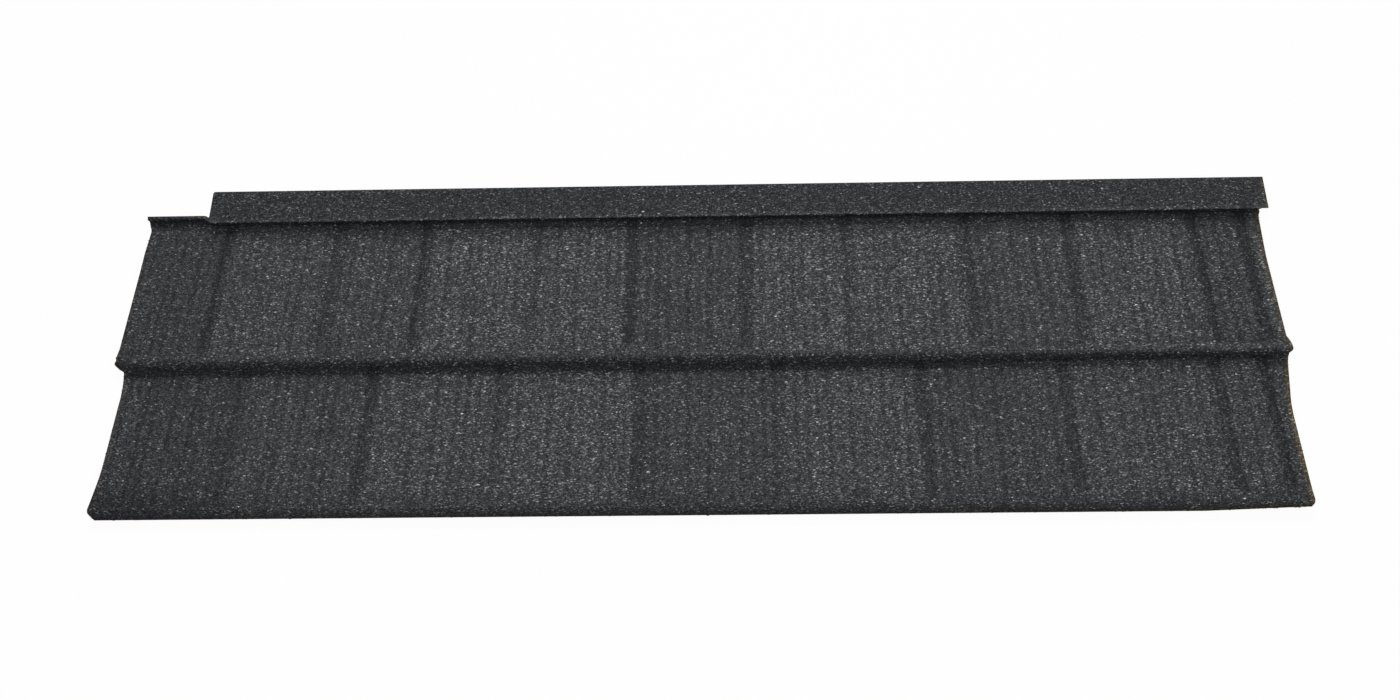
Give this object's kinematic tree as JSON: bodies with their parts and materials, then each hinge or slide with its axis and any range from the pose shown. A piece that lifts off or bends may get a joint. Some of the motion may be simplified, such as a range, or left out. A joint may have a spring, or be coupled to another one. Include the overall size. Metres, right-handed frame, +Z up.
{
  "type": "tile effect metal roofing sheet",
  "caption": "Long pressed steel roofing sheet with two stepped shingle courses, a rear batten flange, a turned-down nose and a dark stone chip coat.",
  "frame": {"origin": "under the middle of the overall box, on the surface that the sheet lies on", "axes": "+X along the sheet, +Y towards the rear flange that faces up the roof, +Z up out of the coated face"},
  "size_m": [1.34, 0.42, 0.0248],
  "materials": {
    "stone_chip_coat": "charcoal grey stone chips bonded to steel, rough and matte with pale grey specks"
  },
  "bodies": {
    "root": {"roofing_sheet": "stone_chip_coat"}
  },
  "joints": []
}
